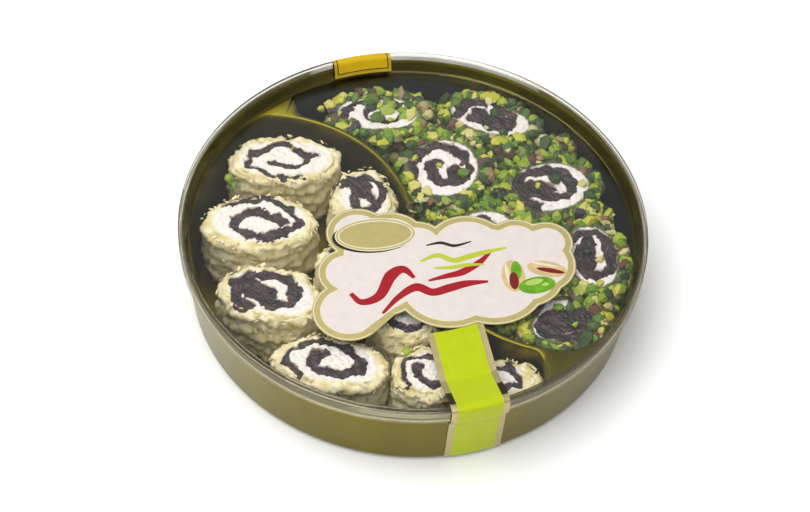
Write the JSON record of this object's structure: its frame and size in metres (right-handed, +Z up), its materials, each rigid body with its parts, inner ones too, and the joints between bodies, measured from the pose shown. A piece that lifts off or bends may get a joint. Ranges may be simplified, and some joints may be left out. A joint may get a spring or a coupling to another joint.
{
  "type": "turkish delight box",
  "caption": "Round presentation box of rolled Turkish delight: gold tub with an S-shaped divider, coconut and pistachio rolls, clear recessed lid, cloud label, paper band and tape seal.",
  "frame": {"origin": "centre of the tub's base, where the box rests", "axes": "+Z up through the lid, front of the box towards -Y, where the paper band comes down"},
  "size_m": [0.2004, 0.2004, 0.0411],
  "materials": {
    "gold_plastic": "thermoformed sheet with a metallic gold-olive lacquer, satin gloss",
    "clear_plastic": "clear thermoformed PET sheet, glossy",
    "coconut_candy": "pale aerated candy with a crumbly coat of desiccated coconut",
    "pistachio_candy": "pale aerated candy with a thick coat of chopped green pistachio",
    "dark_candy": "dark chewy jelly candy, moist and slightly glossy",
    "label_paper": "smooth coated paper with a gold-beige border",
    "band_paper": "lime coated paper with a narrow gold foil border on both long edges",
    "seal_tape": "yellow printed tape with a thin black inset line"
  },
  "bodies": {
    "root": {"tub": "gold_plastic", "lid": "clear_plastic", "coconut_roll_1": "coconut_candy", "coconut_roll_1_filling": "dark_candy", "coconut_roll_2": "coconut_candy", "coconut_roll_2_filling": "dark_candy", "coconut_roll_3": "coconut_candy", "coconut_roll_3_filling": "dark_candy", "coconut_roll_4": "coconut_candy", "coconut_roll_4_filling": "dark_candy", "coconut_roll_5": "coconut_candy", "coconut_roll_5_filling": "dark_candy", "coconut_roll_6": "coconut_candy", "coconut_roll_6_filling": "dark_candy", "coconut_roll_7": "coconut_candy", "coconut_roll_7_filling": "dark_candy", "coconut_roll_8": "coconut_candy", "coconut_roll_8_filling": "dark_candy", "coconut_roll_9": "coconut_candy", "coconut_roll_9_filling": "dark_candy", "pistachio_roll_1": "pistachio_candy", "pistachio_roll_1_filling": "dark_candy", "pistachio_roll_2": "pistachio_candy", "pistachio_roll_2_filling": "dark_candy", "pistachio_roll_3": "pistachio_candy", "pistachio_roll_3_filling": "dark_candy", "pistachio_roll_4": "pistachio_candy", "pistachio_roll_4_filling": "dark_candy", "pistachio_roll_5": "pistachio_candy", "pistachio_roll_5_filling": "dark_candy", "pistachio_roll_6": "pistachio_candy", "pistachio_roll_6_filling": "dark_candy", "pistachio_roll_7": "pistachio_candy", "pistachio_roll_7_filling": "dark_candy", "pistachio_roll_8": "pistachio_candy", "pistachio_roll_8_filling": "dark_candy", "label": "label_paper", "band": "band_paper", "seal": "seal_tape"}
  },
  "joints": []
}
